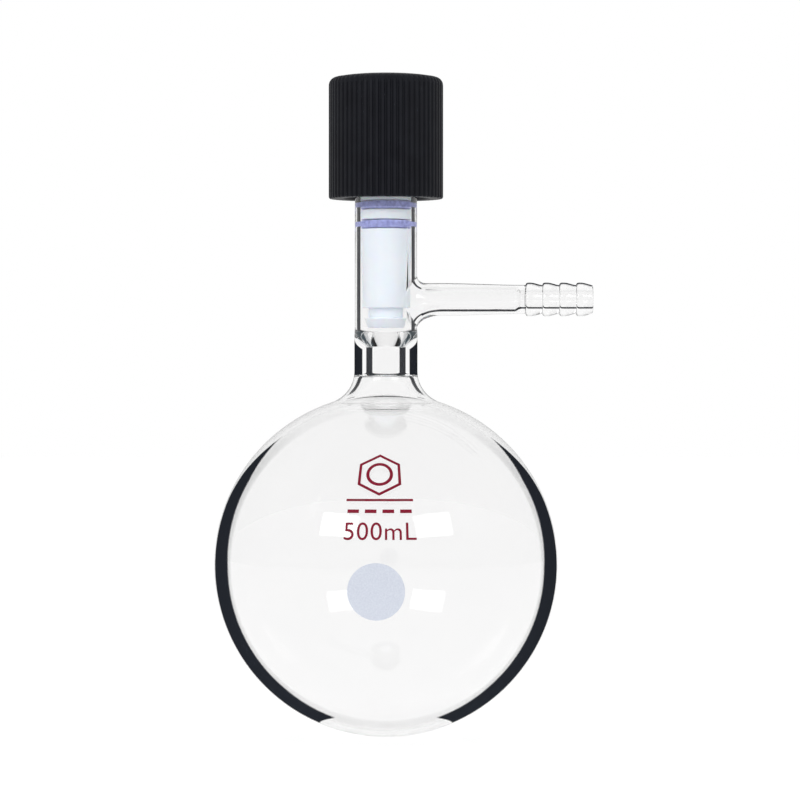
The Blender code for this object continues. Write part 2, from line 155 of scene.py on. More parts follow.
# Places read from the frame
FACE_GAP = node_low("valve_barrel").z - node_high("valve_seat").z
BULB_RADIUS = node_high("round_bulb").x
BULB_BOTTOM_Z = node_low("round_bulb").z
BULB_Z = BULB_BOTTOM_Z + BULB_RADIUS
SEAT_BOTTOM_Z = node_low("valve_seat").z - FACE_GAP / 2
SEAT_TOP_Z = node_high("valve_seat").z + FACE_GAP / 2
BARREL_RADIUS = node_high("valve_barrel").x
HEAD_Z = node_high("valve_barrel").z + FACE_GAP / 2
HEAD_TOP_Z = node_high("threaded_head").z
ARM_Z = (node_low("hose_barb").z + node_high("hose_barb").z) / 2
ARM_END_X = node_low("hose_barb").x - FACE_GAP / 2
ARM_TIP_X = node_high("hose_barb").x
SEAT_RISE = (SEAT_TOP_Z - 5.5 * MM, SEAT_TOP_Z - 2.1 * MM, 0.66)  # painted shade: the seat's painted dark bars give way over this height, where the cone would hide them
FLARE_X = SEAT_RADIUS + FLARE_RADIUS
FLARE_RISE = math.sqrt((BULB_RADIUS + FLARE_RADIUS) ** 2 - FLARE_X**2)
FLARE_Z = BULB_Z + FLARE_RISE
SHOULDER_ANGLE = math.degrees(math.atan2(FLARE_RISE, FLARE_X))


# Glass looks, with painted shade: near-black edges and bands mixed into the glass by viewing angle. Stops
# are (value from 0 to 1, result). A surface's slope runs from 0, facing down, to 1, up
GLASS_TINT = (0.957, 0.956, 0.956)
GLASS_TINT_DEEP = (0.948, 0.947, 0.947)
# Painted shade colours: near black for the glass's dark edges and bands, blue-grey for the seat cone's
EDGE_SHADE_COLOUR = (0.020, 0.023, 0.030)
CONE_SHADE_COLOUR = (0.09, 0.14, 0.17)
EDGE_SHARPNESS = 55.0
CLEAR = [(0.0, 0.0), (1.0, 0.0)]
# The bulb's painted dark rim (painted shade by viewing angle) lies between these two, thins out towards the
# neck and stops short of the bottom
RIM = (
    [
        (0.040, 1.0),
        (0.046, 0.90),
        (0.072, 0.635),
        (0.16, 0.615),
        (0.5, 0.60),
        (0.75, 0.64),
        (0.83, 0.69),
        (0.885, 0.73),
    ],
    [(0.040, 0.90), (0.16, 0.90), (0.5, 0.91), (0.70, 0.90), (0.77, 0.85), (0.83, 0.78), (0.885, 0.72)],
)
# Painted shade on the bulb's inner wall, seen from within the glass, fading out towards its top and bottom
INNER_RIM = [(0.655, 0.0), (0.69, 0.22), (0.75, 0.32), (0.9, 0.2)]
INNER_RIM_FADE = [(0.08, 0.0), (0.20, 1.0), (0.88, 1.0), (0.96, 0.3)]
# Painted dark bands, seen from within the glass: in the barrel's bore, in the neck under the seat and in
# the arm's bore, the last faded by slope
BARREL_SHADE_BAND = [(0.250, 0.0), (0.260, 1.0), (0.343, 1.0), (0.356, 0.0)]
NECK_SHADE_BAND = (
    [(0.50, 0.240), (0.65, 0.238), (0.80, 0.262), (0.88, 0.31)],
    [(0.50, 0.335), (0.65, 0.345), (0.80, 0.335), (0.88, 0.31)],
)
BORE_SHADE_BAND = [(0.265, 0.0), (0.285, 1.0), (0.43, 1.0), (0.47, 0.0)]
BORE_FADE = [(0.0, 1.0), (0.40, 1.0), (0.55, 0.10), (1.0, 0.10)]
# Painted dark edges of the arm, barb and seat, those of the arm and barb stronger on faces that look up
ARM_EDGE = [(0.68, 0.0), (0.84, 1.0)]
ARM_FADE = [(0.0, 0.18), (0.5, 0.25), (0.8, 1.0)]
BARB_EDGE = [(0.50, 0.0), (0.68, 1.0)]
SEAT_EDGE = [(0.325, 0.0), (0.345, 1.0)]
# Painted blue-grey shade in the seat's cone, seen from within the glass
CONE_SHADE_STOPS = [(0.30, 0.0), (0.42, 0.55), (0.60, 0.4), (0.7, 0.15)]
LAMP_TINT = 0.97  # share of lamp light that each face of the glass lets through


# ---------------------------------------------------------------- mesh tools


def arc(centre, radius, start, end, steps):
    """Points of an arc in the (radius, z) plane, by angle in degrees from the outward direction."""
    points = []
    for i in range(steps + 1):
        angle = math.radians(start + (end - start) * i / steps)
        points.append((centre[0] + radius * math.cos(angle), centre[1] + radius * math.sin(angle)))
    return points


def rounded(corners, radii, steps=6):
    """A polyline of (radius, z) corners whose inner corners are rounded off by the given radii."""
    points = [corners[0]]
    for before, corner, after, radius in zip(corners, corners[1:], corners[2:], radii):
        at = Vector(corner)
        back = Vector(before) - at
        ahead = Vector(after) - at
        half = back.angle(ahead) / 2
        cut = min(radius / math.tan(half), back.length * 0.49, ahead.length * 0.49)
        first = at + back.normalized() * cut
        last = at + ahead.normalized() * cut
        for i in range(steps + 1):
            t = i / steps
            points.append(tuple(first * (1 - t) ** 2 + at * 2 * t * (1 - t) + last * t**2))
    points.append(corners[-1])
    return points


def ring(radius, z, sides):
    """A level circle of points about the valve's axis, or one point on the axis itself."""
    if radius < 1e-7:
        return [(0.0, 0.0, z)]
    turn = 2 * math.pi / sides
    return [(radius * math.cos(k * turn), radius * math.sin(k * turn), z) for k in range(sides)]


def skin(rings, loop=False):
    """Mesh through a row of point rings. A ring of one point is a pole, and loop joins last to first."""
    points = []
    starts = []
    for one in rings:
        starts.append(len(points))
        points.extend(one)
    pairs = list(zip(range(len(rings)), range(1, len(rings))))
    if loop:
        pairs.append((len(rings) - 1, 0))
    faces = []
    for low, high in pairs:
        count = (len(rings[low]), len(rings[high]))
        for k in range(max(count)):
            corners = [
                starts[low] + k % count[0],
                starts[low] + (k + 1) % count[0],
                starts[high] + (k + 1) % count[1],
                starts[high] + k % count[1],
            ]
            faces.append(list(dict.fromkeys(corners)))
    mesh = bpy.data.meshes.new("skin")
    mesh.from_pydata(points, [], faces)
    return mesh


def make_object(name, mesh, sharp=40.0):
    """Links a closed mesh as an object with its faces out and smooth up to the sharp angle."""
    bm = bmesh.new()
    bm.from_mesh(mesh)
    bmesh.ops.recalc_face_normals(bm, faces=bm.faces[:])
    bm.to_mesh(mesh)
    bm.free()
    mesh.name = name
    mesh.shade_smooth()
    mesh.set_sharp_from_angle(angle=math.radians(sharp))
    obj = bpy.data.objects.new(name, mesh)
    bpy.context.scene.collection.objects.link(obj)
    return obj


def turned(name, profile, sides, sharp=40.0):
    """A profile of (radius, z) turned about the valve's axis. It closes on itself or at two poles."""
    loop = profile[0][0] > 1e-7 or profile[-1][0] > 1e-7
    return make_object(name, skin([ring(r, z, sides) for r, z in profile], loop), sharp)


def carve(obj, other, operation):
    """Joins other to obj, or cuts it out, and removes it."""
    modifier = obj.modifiers.new("carve", "BOOLEAN")
    modifier.operation = operation
    modifier.solver = "MANIFOLD"
    modifier.object = other
    depsgraph = bpy.context.evaluated_depsgraph_get()
    made = bpy.data.meshes.new_from_object(obj.evaluated_get(depsgraph))
    obj.modifiers.clear()
    obj.data = made
    bpy.data.objects.remove(other, do_unlink=True)


def helix_ridge(root, crest, start_z, turns):
    """A right-hand thread ridge with rounded flanks that sinks into its wall at both ends."""
    sunk = math.copysign(0.4 * MM, root - crest)
    steps = round(turns * THREAD_SIDES)
    fade_steps = THREAD_SIDES / 6
    half_section = [(0.0, 1.05 * MM), (0.45, 0.72 * MM), (0.8, 0.48 * MM), (0.96, 0.26 * MM)]
    section = [(lift, -half) for lift, half in half_section]
    section += [(1.0, 0.0)]
    section += [(lift, half) for lift, half in reversed(half_section)]
    rings = []
    for i in range(steps + 1):
        angle = 2 * math.pi * i / THREAD_SIDES
        z = start_z + THREAD_PITCH * i / THREAD_SIDES
        fade = min(1.0, min(i, steps - i) / fade_steps)
        top = (root + sunk / 2) * (1 - fade) + crest * fade
        one = []
        for lift, side in section:
            radius = (root + sunk) * (1 - lift) + top * lift
            one.append((radius * math.cos(angle), radius * math.sin(angle), z + side))
        rings.append(one)
    mesh = skin(rings)
    bm = bmesh.new()
    bm.from_mesh(mesh)
    bmesh.ops.holes_fill(bm, edges=[edge for edge in bm.edges if edge.is_boundary])
    bm.to_mesh(mesh)
    bm.free()
    return make_object("ridge", mesh)


# ---------------------------------------------------------------- materials


class Look:
    """A material's node tree, with short calls for the nodes used here."""

    def __init__(self, name):
        self.material = bpy.data.materials.new(name)
        self.material.use_nodes = True
        self.nodes = self.material.node_tree.nodes
        self.links = self.material.node_tree.links
        self.shader = self.nodes["Principled BSDF"]
        self.output = self.nodes["Material Output"]
        self.place = self.add("ShaderNodeTexCoord").outputs["Object"]

    def add(self, kind, **settings):
        node = self.nodes.new(kind)
        for key, value in settings.items():
            setattr(node, key, value)
        return node

    def join(self, source, target):
        self.links.new(source, target)

    def set(self, **values):
        for key, value in values.items():
            self.shader.inputs[key.replace("_", " ")].default_value = value

    def noise(self, scale, detail=4.0, stretch=(1, 1, 1)):
        mapping = self.add("ShaderNodeMapping")
        mapping.inputs["Scale"].default_value = stretch
        self.join(self.place, mapping.inputs["Vector"])
        node = self.add("ShaderNodeTexNoise")
        node.inputs["Scale"].default_value = scale
        node.inputs["Detail"].default_value = detail
        self.join(mapping.outputs["Vector"], node.inputs["Vector"])
        return node.outputs["Fac"]

    def ramp(self, source, stops):
        node = self.add("ShaderNodeValToRGB")
        elements = node.color_ramp.elements
        while len(elements) < len(stops):
            elements.new(0.5)
        for element, (position, value) in zip(elements, stops):
            element.position = position
            colour = value if isinstance(value, tuple) else (value, value, value)
            element.color = (*colour, 1.0)
        self.join(source, node.inputs["Fac"])
        return node.outputs["Color"]

    def math(self, operation, first, second):
        node = self.add("ShaderNodeMath", operation=operation)
        for socket, value in zip(node.inputs, (first, second)):
            if isinstance(value, (int, float)):
                socket.default_value = value
            else:
                self.join(value, socket)
        return node.outputs["Value"]

    def bump(self, source, strength, distance):
        node = self.add("ShaderNodeBump")
        node.inputs["Strength"].default_value = strength
        node.inputs["Distance"].default_value = distance
        self.join(source, node.inputs["Height"])
        self.join(node.outputs["Normal"], self.shader.inputs["Normal"])


def painted_edge_share(look, facing, slope, rule):
    """How much painted shade an edge takes: by stops from face on (0) to edge on (1), or between two rows
    by slope.
    """
    if not isinstance(rule, tuple):
        return look.ramp(facing, rule or CLEAR)
    past_low = look.math("SUBTRACT", facing, look.ramp(slope, rule[0]))
    before_high = look.math("SUBTRACT", look.ramp(slope, rule[1]), facing)
    inside = look.math("MINIMUM", past_low, before_high)
    share = look.math("MULTIPLY", inside, EDGE_SHARPNESS)
    share.node.use_clamp = True
    return share


def glass(name, air=None, inner=None, edge=EDGE_SHADE_COLOUR, fade=None, rise=None):
    """Borosilicate glass with painted shade: a near-black shader, mixed in by viewing angle, paints its
    dark edges. It lets lamps through.

    air and inner give the painted shade's stops, or two rows by slope, for rays that meet the surface
    from the air and from within the glass, in the form that the edge share function reads. fade weakens
    both by how far the surface faces down (0) to up (1). rise is (z, z, shift): over that height the air
    side's stops move towards edge on by the shift.
    """
    look = Look(name)
    colour = look.ramp(look.noise(30.0), [(0.3, GLASS_TINT_DEEP), (0.7, GLASS_TINT)])
    look.join(colour, look.shader.inputs["Base Color"])
    look.join(look.ramp(look.noise(90.0), [(0.35, 0.0), (0.75, 0.012)]), look.shader.inputs["Roughness"])
    look.set(Transmission_Weight=1.0, IOR=GLASS_IOR)
    # Painted shade: this near-black shader, mixed in by viewing angle, draws the glass's dark edges and
    # bands
    dark = look.add("ShaderNodeBsdfPrincipled")
    dark.inputs["Base Color"].default_value = (*edge, 1.0)
    dark.inputs["Roughness"].default_value = 0.25
    dark.inputs["Specular IOR Level"].default_value = 0.0
    facing = look.add("ShaderNodeLayerWeight").outputs["Facing"]
    from_within = look.add("ShaderNodeNewGeometry").outputs["Backfacing"]
    normal = look.add("ShaderNodeSeparateXYZ")
    look.join(look.add("ShaderNodeTexCoord").outputs["Normal"], normal.inputs["Vector"])
    slope = look.math("ADD", look.math("MULTIPLY", normal.outputs["Z"], 0.5), 0.5)
    from_air = facing
    if rise:
        place = look.add("ShaderNodeSeparateXYZ")
        look.join(look.place, place.inputs["Vector"])
        shift = look.add("ShaderNodeMapRange")
        look.join(place.outputs["Z"], shift.inputs["Value"])
        for socket, value in zip(("From Min", "From Max", "To Max"), rise):
            shift.inputs[socket].default_value = value
        from_air = look.math("SUBTRACT", facing, shift.outputs["Result"])
    air_share = painted_edge_share(look, from_air, slope, air)
    inner_share = painted_edge_share(look, facing, slope, inner)
    sides = look.add("ShaderNodeMix", data_type="FLOAT")
    look.join(from_within, sides.inputs["Factor"])
    look.join(air_share, sides.inputs["A"])
    look.join(inner_share, sides.inputs["B"])
    share = sides.outputs["Result"]
    if fade:
        share = look.math("MULTIPLY", share, look.ramp(slope, fade))
    mix = look.add("ShaderNodeMixShader")
    look.join(share, mix.inputs["Fac"])
    look.join(look.shader.outputs["BSDF"], mix.inputs[1])
    look.join(dark.outputs["BSDF"], mix.inputs[2])
    clear = look.add("ShaderNodeBsdfTransparent")
    clear.inputs["Color"].default_value = (LAMP_TINT, LAMP_TINT, LAMP_TINT, 1.0)
    for_lamps = look.add("ShaderNodeMixShader")
    look.join(look.add("ShaderNodeLightPath").outputs["Is Shadow Ray"], for_lamps.inputs["Fac"])
    look.join(mix.outputs["Shader"], for_lamps.inputs[1])
    look.join(clear.outputs["BSDF"], for_lamps.inputs[2])
    look.join(for_lamps.outputs["Shader"], look.output.inputs["Surface"])
    return look.material


def ptfe():
    """White fluoropolymer: waxy, slightly see-through, with fine turning marks."""
    look = Look("white_ptfe")
    cloud = look.noise(120.0, 3.0)
    colour = look.ramp(cloud, [(0.3, (0.835, 0.90, 1.0)), (0.7, (0.87, 0.93, 1.0))])
    look.join(colour, look.shader.inputs["Base Color"])
    look.join(look.ramp(cloud, [(0.3, 0.36), (0.7, 0.48)]), look.shader.inputs["Roughness"])
    look.set(Subsurface_Weight=0.25, Subsurface_Scale=0.002)
    look.bump(look.noise(60.0, 2.0, stretch=(1, 1, 160)), 0.12, 0.00002)
    return look.material


def seal_rubber():
    """Lavender elastomer, mottled where it is pressed against the glass."""
    look = Look("lavender_seal")
    cloud = look.noise(900.0, 3.0)
    colour = look.ramp(cloud, [(0.35, (0.255, 0.28, 0.68)), (0.62, (0.48, 0.52, 0.97))])
    look.join(colour, look.shader.inputs["Base Color"])
    look.join(look.ramp(cloud, [(0.3, 0.35), (0.7, 0.6)]), look.shader.inputs["Roughness"])
    look.bump(cloud, 0.3, 0.00004)
    return look.material


def cap_plastic():
    """Black moulded plastic with a fine spark-eroded grain."""
    look = Look("black_plastic")
    grain = look.noise(2600.0, 2.0)
    colour = look.ramp(look.noise(180.0), [(0.3, (0.005, 0.0055, 0.0085)), (0.7, (0.0085, 0.0095, 0.0135))])
    look.join(colour, look.shader.inputs["Base Color"])
    look.join(look.ramp(grain, [(0.3, 0.46), (0.7, 0.60)]), look.shader.inputs["Roughness"])
    look.set(Specular_IOR_Level=0.14)
    look.bump(grain, 0.25, 0.00003)
    return look.material


def bearing_plastic():
    look = Look("bearing_plastic")
    cloud = look.noise(400.0)
    colour = look.ramp(cloud, [(0.3, (0.70, 0.68, 0.62)), (0.7, (0.78, 0.76, 0.71))])
    look.join(colour, look.shader.inputs["Base Color"])
    look.join(look.ramp(cloud, [(0.3, 0.4), (0.7, 0.55)]), look.shader.inputs["Roughness"])
    look.bump(cloud, 0.2, 0.00002)
    return look.material


def spring_steel():
    look = Look("spring_steel")
    brushed = look.noise(500.0, 3.0, stretch=(1, 1, 12))
    colour = look.ramp(brushed, [(0.3, (0.42, 0.42, 0.44)), (0.7, (0.60, 0.60, 0.61))])
    look.join(colour, look.shader.inputs["Base Color"])
    look.join(look.ramp(brushed, [(0.3, 0.22), (0.7, 0.38)]), look.shader.inputs["Roughness"])
    look.set(Metallic=1.0)
    look.bump(brushed, 0.15, 0.00002)
    return look.material


def enamel():
    """Fired maroon enamel, a little uneven as screen print is."""
    look = Look("enamel_print")
    cloud = look.noise(1500.0, 3.0)
    colour = look.ramp(cloud, [(0.3, (0.20, 0.003, 0.020)), (0.7, (0.27, 0.005, 0.029))])
    look.join(colour, look.shader.inputs["Base Color"])
    look.join(look.ramp(cloud, [(0.3, 0.35), (0.7, 0.5)]), look.shader.inputs["Roughness"])
    look.set(Specular_IOR_Level=0.2)
    look.bump(cloud, 0.2, 0.00002)
    return look.material


def frosted_patch():
    """Matt white fired patch with a fine tooth for pencil."""
    look = Look("marking_patch")
    grain = look.noise(2200.0, 2.0)
    colour = look.ramp(grain, [(0.3, (0.66, 0.70, 0.80)), (0.7, (0.74, 0.78, 0.87))])
    look.join(colour, look.shader.inputs["Base Color"])
    look.join(look.ramp(grain, [(0.3, 0.8), (0.7, 0.95)]), look.shader.inputs["Roughness"])
    look.bump(grain, 0.5, 0.00004)
    return look.material


# ---------------------------------------------------------------- glass


def smooth_step(low, high, value):
    t = min(1.0, max(0.0, (value - low) / (high - low)))
    return t * t * (3 - 2 * t)


def outer_profile():
    """Outline of the glass outside: sphere, flared neck, seat, barrel and head, going up."""
    profile = arc((0.0, BULB_Z), BULB_RADIUS, -90, SHOULDER_ANGLE, 120)
    profile[0] = (0.0, BULB_BOTTOM_Z)
    profile += arc((FLARE_X, FLARE_Z), FLARE_RADIUS, 180 + SHOULDER_ANGLE, 180, 40)[1:]
    blend = 1.2 * MM
    steps = 8
    for i in range(steps + 1):
        z = SEAT_TOP_Z - blend + 2 * blend * i / steps
        share = smooth_step(0, 1, i / steps)
        profile.append((SEAT_RADIUS + (BARREL_RADIUS - SEAT_RADIUS) * share, z))
    profile.append((BARREL_RADIUS, HEAD_Z - 0.6 * MM))
    for i in range(1, steps + 1):
        share = smooth_step(0, 1, i / steps)
        z = HEAD_Z - 0.6 * MM + (HEAD_SHOULDER + 0.6 * MM) * i / steps
        profile.append((BARREL_RADIUS + (HEAD_ROOT_RADIUS - BARREL_RADIUS) * share, z))
    lip = (HEAD_ROOT_RADIUS - HEAD_LIP_ROUND, HEAD_TOP_Z - HEAD_LIP_ROUND)
    profile += arc(lip, HEAD_LIP_ROUND, 0, 90, 8)
    return profile


def inner_profile():
    """Outline of the glass inside, going down: barrel bore, seat cone and bore, neck and sphere."""
    lip = (VALVE_BORE_RADIUS + HEAD_LIP_ROUND, HEAD_TOP_Z - HEAD_LIP_ROUND)
    profile = arc(lip, HEAD_LIP_ROUND, 90, 180, 8)
    inner_flare = FLARE_RADIUS + BULB_WALL
    neck_radius = FLARE_X - inner_flare
    underside = SEAT_BOTTOM_Z - 0.2 * MM
    corners = [
        (VALVE_BORE_RADIUS, SEAT_TOP_Z + 3 * MM),
        (VALVE_BORE_RADIUS, SEAT_TOP_Z),
        (SEAT_BORE_RADIUS, SEAT_TOP_Z - SEAT_CONE_DEPTH),
        (SEAT_BORE_RADIUS, underside),
        (neck_radius, underside - 0.35 * MM),
        (neck_radius + 0.9 * MM, underside - 4.3 * MM),
    ]
    profile += rounded(corners, (1.6 * MM, 1.0 * MM, 0.8 * MM, 1.0 * MM))[:-1]
    start = 180 + math.degrees(math.asin((FLARE_Z - underside + 1.6 * MM) / inner_flare))
    profile += arc((FLARE_X, FLARE_Z), inner_flare, start, 180 + SHOULDER_ANGLE, 20)
    inner_radius = BULB_RADIUS - BULB_WALL
    profile += arc((0.0, BULB_Z), inner_radius, SHOULDER_ANGLE, -90, 110)[1:]
    profile[-1] = (0.0, BULB_Z - inner_radius)
    return profile


def saddle_rings(wall_radius, tube_radius, weld, start, steps):
    """Rings of a weld that leaves a wall of the given radius and closes in on the arm's tube.

    weld holds the reach to the side, upwards and downwards, and the height over the wall above and below.
    """
    side, up, down, height_above, height_below = weld
    rings = []
    for i in range(start, steps + 1):
        t = math.pi / 2 * i / steps
        one = []
        for k in range(ARM_SIDES):
            turn = 2 * math.pi * k / ARM_SIDES
            lift = math.sin(turn)
            reach = side * (1 - lift**2) + (up if lift > 0 else down) * lift**2
            height = height_above + (height_below - height_above) * (1 - lift) / 2
            rho = tube_radius + reach * (1 - math.sin(t))
            y = rho * math.cos(turn)
            x = math.sqrt(wall_radius**2 - y**2) + height * (1 - math.cos(t))
            one.append((x, y, ARM_Z + rho * lift))
        rings.append(one)
    return rings


def arm_ring(radius, x):
    turn = 2 * math.pi / ARM_SIDES
    return [
        (x, radius * math.cos(k * turn), ARM_Z + radius * math.sin(k * turn)) for k in range(ARM_SIDES)
    ]


def barb_profile():
    """(radius, x) of the hose end: each ridge rises sharply and falls away to the tip."""
    pitch = (ARM_TIP_X - ARM_END_X) / BARB_COUNT
    profile = []
    rise = BARB_CREST_RADIUS - BARB_ROOT_RADIUS
    for i in range(BARB_COUNT):
        at = ARM_END_X + i * pitch
        for angle in (0, 18, 36, 54, 72, 90):
            a = math.radians(angle)
            profile.append((BARB_ROOT_RADIUS + rise * math.sin(a), at + rise * 1.1 * (1 - math.cos(a))))
        slope_start = at + rise * 1.1 + 0.3 * MM
        slope_end = at + pitch - 0.15 * MM
        for j in range(7):
            t = j / 6
            sag = 0.10 * MM * math.sin(math.pi * t)
            radius = BARB_CREST_RADIUS - rise * smooth_step(0, 1, t) * 0.9 - rise * 0.1 * t + sag
            profile.append((radius, slope_start + (slope_end - slope_start) * t))
    end = profile.pop()
    lip = 0.5 * MM
    for angle in (0, 30, 60, 90):
        a = math.radians(angle)
        profile.append((end[0] - lip * (1 - math.cos(a)), ARM_TIP_X - lip * (1 - math.sin(a))))
    return profile


def side_arm_solid():
    """The arm's outside: weld, slightly tapered tube and barb."""
    weld = saddle_rings(BARREL_RADIUS - 0.03 * MM, ARM_ROOT_RADIUS, WELD_OUTSIDE, 2, WELD_STEPS)
    root = [(math.sqrt(BARREL_RADIUS**2 - y**2) - 0.8 * MM, y, z) for _, y, z in weld[0]]
    rings = [[(BARREL_RADIUS - 0.8 * MM, 0.0, ARM_Z)], root] + weld
    tube_start = BARREL_RADIUS + WELD_OUTSIDE[-1] + 0.5 * MM
    for i in range(9):
        t = i / 8
        radius = ARM_ROOT_RADIUS + (ARM_END_RADIUS - ARM_ROOT_RADIUS) * smooth_step(0, 1, t)
        rings.append(arm_ring(radius, tube_start + (ARM_END_X - 0.4 * MM - tube_start) * t))
    rings += [arm_ring(radius, x) for radius, x in barb_profile()]
    rings.append([(ARM_TIP_X, 0.0, ARM_Z)])
    return make_object("arm", skin(rings))


def arm_bore_cutter():
    """The arm's bore, which flares into the barrel and narrows towards the barb."""
    wall = VALVE_BORE_RADIUS
    flare = saddle_rings(wall, ARM_BORE_RADIUS, WELD_INSIDE, 2, WELD_STEPS)
    root = [(math.sqrt(wall**2 - y**2) - 1.5 * MM, y, z) for _, y, z in flare[0]]
    rings = [[(wall - 3 * MM, 0.0, ARM_Z)], root] + flare
    narrow = ARM_END_X - 2.6 * MM
    for x in (wall + WELD_INSIDE[-1] + 1.0 * MM, (wall + narrow) / 2, narrow - 0.8 * MM):
        rings.append(arm_ring(ARM_BORE_RADIUS, x))
    for i in range(1, 9):
        share = smooth_step(0, 1, i / 8)
        radius = ARM_BORE_RADIUS + (BARB_BORE_RADIUS - ARM_BORE_RADIUS) * share
        rings.append(arm_ring(radius, narrow - 0.8 * MM + 2.4 * MM * i / 8))
    rings.append(arm_ring(BARB_BORE_RADIUS, ARM_TIP_X + 1.0 * MM))
    rings.append([(ARM_TIP_X + 1.0 * MM, 0.0, ARM_Z)])
    return make_object("bore", skin(rings))


def glass_zone(centre, normal):
    """Name of the glass look that a face takes, from its place and the way that it faces."""
    x, y, z = centre
    from_arm = math.hypot(y, z - ARM_Z)
    radius = math.hypot(x, y)
    inward = x * normal.x + y * normal.y < 0
    if x > BARREL_RADIUS + 1.2 * MM and from_arm < 9 * MM:
        if y * normal.y + (z - ARM_Z) * normal.z < 0:
            return "arm_bore"
        return "arm" if x < ARM_END_X - 0.3 * MM else "barb"
    if z > SEAT_TOP_Z - 0.2 * MM:
        return "barrel_bore" if inward else "barrel"
    if z > SEAT_BOTTOM_Z - 0.3 * MM:
        if not inward:
            return "seat"
        if z > SEAT_TOP_Z - SEAT_CONE_DEPTH - 0.1 * MM and radius > SEAT_BORE_RADIUS + 0.05 * MM:
            return "seat_cone"
        return "seat_bore"
    if z > BULB_Z + BULB_RADIUS * 0.955:
        return "neck_bore" if inward else "barrel"
    return "bulb_inside" if is_inner(centre) else "bulb"


def is_inner(centre):
    """True for a point of the sphere's inner wall."""
    return math.hypot(centre[0], centre[1], centre[2] - BULB_Z) < BULB_RADIUS - BULB_WALL / 2


def glass_looks():
    # Each look paints its own dark edges and bands by viewing angle: painted shade
    return {
        "bulb": glass("clear_glass", RIM),
        "bulb_inside": glass("bulb_inside_glass", INNER_RIM, fade=INNER_RIM_FADE),
        "seat": glass("seat_glass", SEAT_EDGE, rise=SEAT_RISE),
        "seat_bore": glass("seat_bore_glass", [(0.88, 0.0), (0.97, 0.7)], [(0.265, 0.0), (0.285, 1.0)]),
        "seat_cone": glass("seat_cone_glass", [(0.7, 0.0), (0.9, 0.5)], CONE_SHADE_STOPS, edge=CONE_SHADE_COLOUR),
        "barrel": glass("barrel_glass", [(0.80, 0.0), (0.97, 0.35)]),
        "barrel_bore": glass("barrel_bore_glass", inner=BARREL_SHADE_BAND),
        "neck_bore": glass("neck_bore_glass", [(0.86, 0.0), (0.95, 0.8)], NECK_SHADE_BAND),
        "arm": glass("arm_glass", ARM_EDGE, fade=ARM_FADE),
        "barb": glass("barb_glass", BARB_EDGE, fade=ARM_FADE),
        "arm_bore": glass("arm_bore_glass", inner=BORE_SHADE_BAND, fade=BORE_FADE),
    }


def make_glass():
    profile = outer_profile() + inner_profile()
    body = turned("glass_body", profile, BULB_SIDES)
    carve(body, side_arm_solid(), "UNION")
    carve(body, arm_bore_cutter(), "DIFFERENCE")
    crest = HEAD_ROOT_RADIUS + THREAD_DEPTH
    thread_z = HEAD_Z + HEAD_THREAD_START
    carve(body, helix_ridge(HEAD_ROOT_RADIUS, crest, thread_z, HEAD_THREAD_TURNS), "UNION")
    mesh = body.data
    mesh.materials.clear()
    looks = glass_looks()
    for look in looks.values():
        mesh.materials.append(look)
    order = list(looks)
    for face in mesh.polygons:
        face.material_index = order.index(glass_zone(face.center, face.normal))
    mesh.shade_smooth()
    mesh.set_sharp_from_angle(angle=math.radians(50))
    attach(body, "flask")
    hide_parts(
        "round_bulb",
        "bulb_neck",
        "valve_seat",
        "valve_barrel",
        "threaded_head",
        "side_arm",
        "hose_barb",
    )
    return body


# ---------------------------------------------------------------- plug and seals


def make_plug():
    """PTFE plug, turned from rod, with broken edges. Its outline follows the frame's plug."""
    low = node_low("ptfe_plug").z
    high = node_high("ptfe_plug").z
    corners = [(0.0, low), (TIP_FACE_RADIUS, low), (TIP_RADIUS, low + TIP_LENGTH)]
    corners += [(TIP_NECK_RADIUS, low + TIP_LENGTH + 0.1 * MM), (TIP_NECK_RADIUS, low + PLUG_FOOT)]
    corners += [(PLUG_FOOT_RADIUS, low + PLUG_FOOT), (PLUG_FOOT_RADIUS, low + PLUG_TAPER_START)]
    corners += [(PLUG_RADIUS, low + PLUG_TAPER_END)]
    for name in ("lower_o_ring", "upper_o_ring"):
        groove = (node_low(name).z - 0.3 * MM, node_high(name).z + 0.3 * MM)
        corners += [(PLUG_RADIUS, groove[0]), (GROOVE_RADIUS, groove[0])]
        corners += [(GROOVE_RADIUS, groove[1]), (PLUG_RADIUS, groove[1])]
    flange_radius = node_high("ptfe_plug").x
    neck_top = high - PLUG_FLANGE
    corners += [(PLUG_RADIUS, neck_top - 3.0 * MM), (PLUG_HEAD_NECK_RADIUS, neck_top - 2.7 * MM)]
    corners += [(PLUG_HEAD_NECK_RADIUS, neck_top), (flange_radius, neck_top), (flange_radius, high)]
    corners += [(0.0, high)]
    radii = [0.25 * MM] * (len(corners) - 2)
    plug = turned("ptfe_plug_turned", rounded(corners, radii, 4), VALVE_PLUG_SIDES, 30.0)
    plug.data.materials.append(ptfe())
    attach(plug, "plug")
    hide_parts("ptfe_plug")


